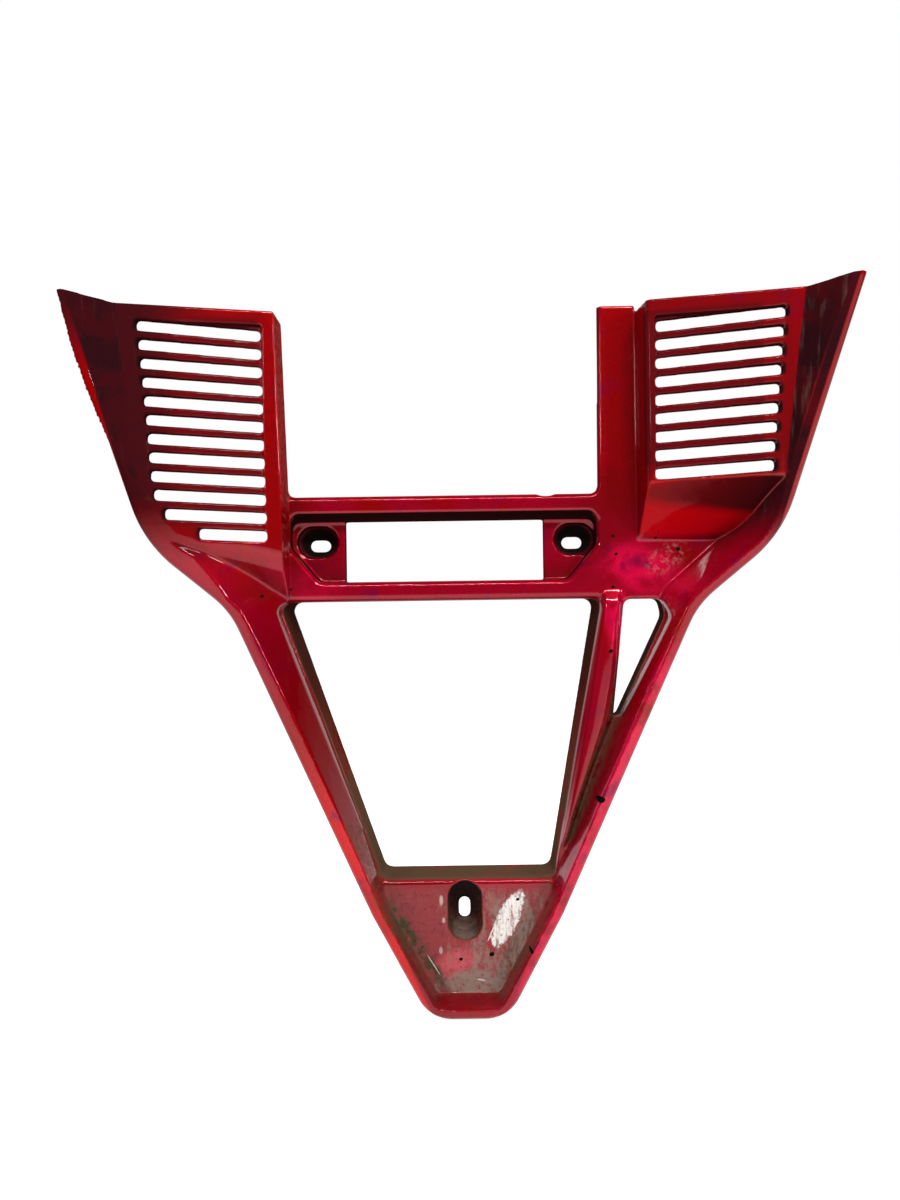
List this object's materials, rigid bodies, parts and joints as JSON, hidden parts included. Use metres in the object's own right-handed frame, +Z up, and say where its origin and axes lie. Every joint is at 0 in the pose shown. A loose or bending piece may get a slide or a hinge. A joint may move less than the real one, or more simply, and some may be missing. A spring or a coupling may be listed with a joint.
{
  "type": "lower fairing v-piece",
  "caption": "V-shaped lower fairing panel: louvred wings that lean forward, crossbars with screw cups, an open V window, a small side window and a lower screw cup.",
  "frame": {"origin": "midway between the two upper screw slots, on the seat face their screws pull against", "axes": "+X to the viewer's right along the line of the two slots, +Y away from the viewer through the slots, +Z up"},
  "size_m": [0.3995, 0.0845, 0.3864],
  "materials": {
    "paint": "worn gloss red paint on moulded plastic"
  },
  "bodies": {
    "root": {"v_panel": "paint"}
  },
  "joints": []
}
